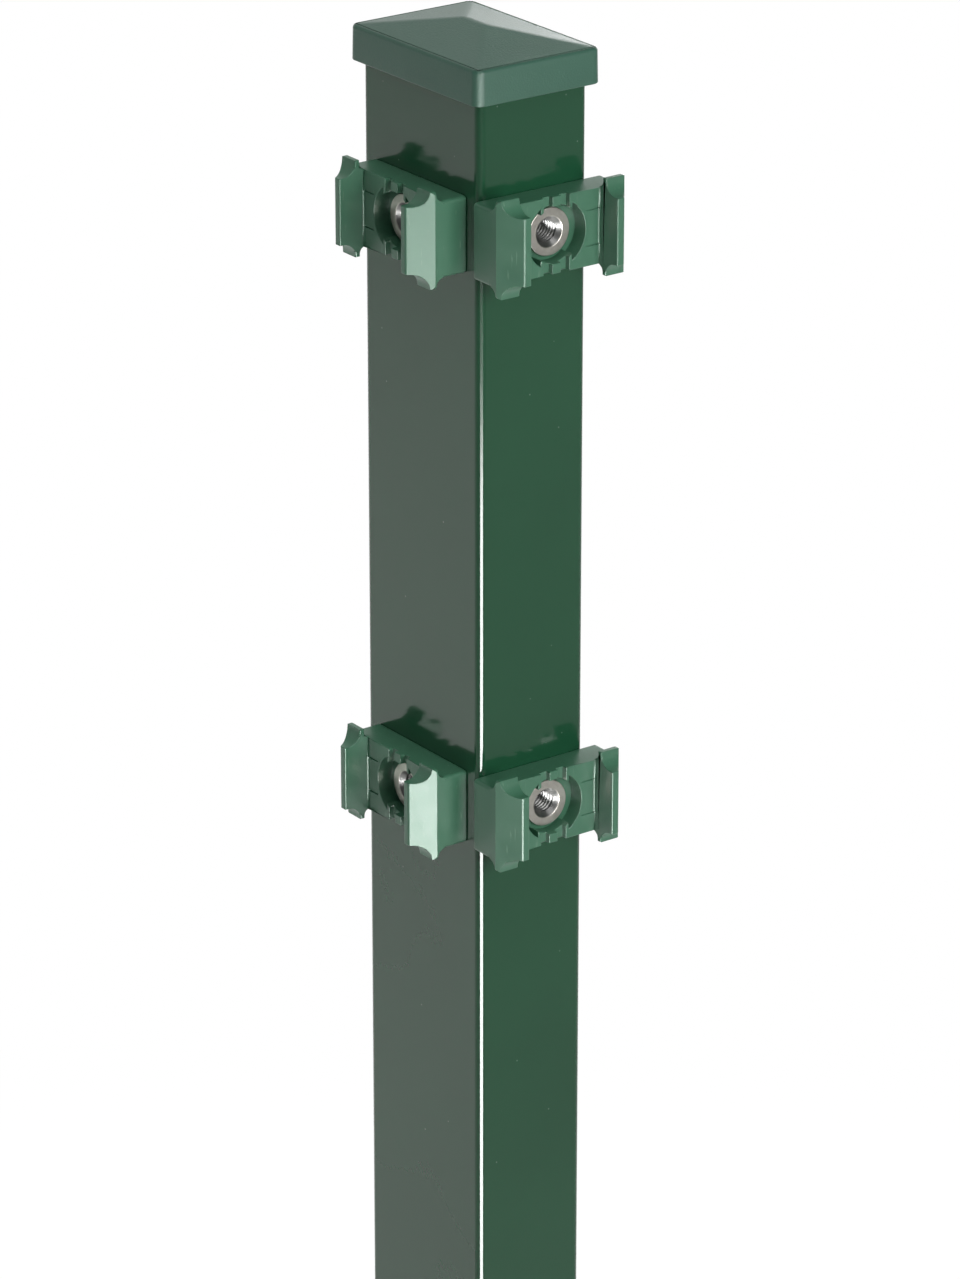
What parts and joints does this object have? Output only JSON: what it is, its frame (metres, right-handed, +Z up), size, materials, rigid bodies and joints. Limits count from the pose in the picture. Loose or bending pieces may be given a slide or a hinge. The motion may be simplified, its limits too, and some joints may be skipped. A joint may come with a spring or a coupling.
{
  "type": "corner fence post",
  "caption": "Rectangular steel corner post for wire mesh fence panels, with a pitched cap and moulded panel holders up two adjacent faces, each clamped by a threaded rivet nut.",
  "frame": {"origin": "middle of the tube's open foot, on the tube's own axis", "axes": "+Z up the tube; -Y is the wide face with holders and +X the narrow face with holders"},
  "size_m": [0.0815, 0.0636, 1.3071],
  "materials": {
    "post_steel": "green powder coat, semi-gloss",
    "cap_plastic": "moulded, fine texture",
    "holder_plastic": "moulded, satin",
    "nut_metal": "zinc plated, bright"
  },
  "bodies": {
    "root": {"panel_holder_narrow_1": "holder_plastic", "panel_holder_narrow_2": "holder_plastic", "panel_holder_narrow_3": "holder_plastic", "panel_holder_narrow_4": "holder_plastic", "panel_holder_narrow_5": "holder_plastic", "panel_holder_wide_1": "holder_plastic", "panel_holder_wide_2": "holder_plastic", "panel_holder_wide_3": "holder_plastic", "panel_holder_wide_4": "holder_plastic", "panel_holder_wide_5": "holder_plastic", "post_cap": "cap_plastic", "post_tube": "post_steel", "rivet_nut_narrow_1": "nut_metal", "rivet_nut_narrow_2": "nut_metal", "rivet_nut_narrow_3": "nut_metal", "rivet_nut_narrow_4": "nut_metal", "rivet_nut_narrow_5": "nut_metal", "rivet_nut_wide_1": "nut_metal", "rivet_nut_wide_2": "nut_metal", "rivet_nut_wide_3": "nut_metal", "rivet_nut_wide_4": "nut_metal", "rivet_nut_wide_5": "nut_metal"}
  },
  "joints": []
}
